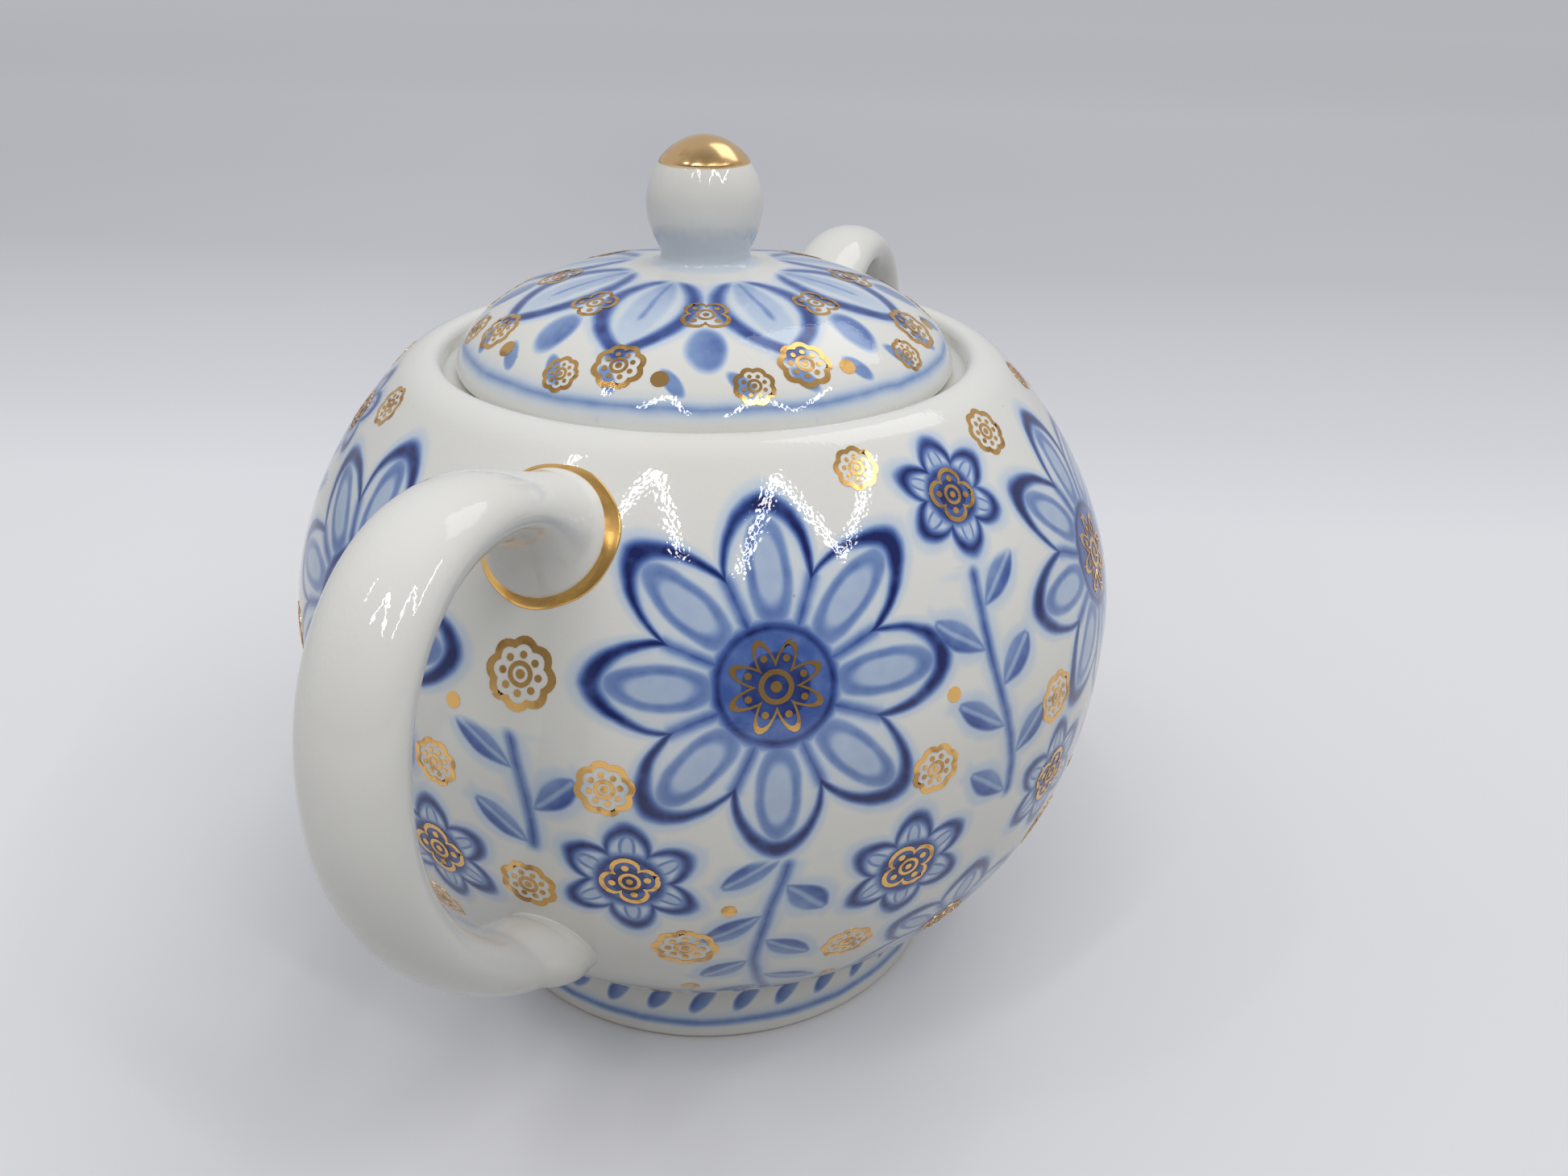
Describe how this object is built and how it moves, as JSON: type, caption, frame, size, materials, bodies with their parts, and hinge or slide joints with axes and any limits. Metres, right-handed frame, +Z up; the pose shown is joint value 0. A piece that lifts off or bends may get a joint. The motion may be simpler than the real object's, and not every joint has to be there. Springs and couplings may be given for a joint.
{
  "type": "covered sugar bowl",
  "caption": "Round porcelain table bowl on a foot ring, with loop handles on both sides and a domed lift-off lid with a gilded ball knob; holds sugar or tea.",
  "frame": {"origin": "on the table, on the bowl's axis, at the foot ring's underside", "axes": "+Z up along the bowl's axis, the loop handles along -X and +X"},
  "size_m": [0.1818, 0.12, 0.1249],
  "materials": {
    "porcelain": "white porcelain under a clear gloss glaze, painted in cobalt",
    "gilding": "burnished gold lustre"
  },
  "bodies": {
    "vessel": {"bowl": "porcelain", "foot_ring": "porcelain", "lid_seat": "porcelain", "handle_left": "porcelain", "handle_right": "porcelain", "gilding_left": "gilding", "gilding_right": "gilding"},
    "cover": {"lid": "porcelain", "lid_flange": "porcelain", "knob": "porcelain", "knob_gilding": "gilding"}
  },
  "joints": [
    {"name": "lid_lift", "type": "slide", "parent": "vessel", "child": "cover", "axis": [0, 0, 1], "range_m": [0, 0.06]}
  ]
}
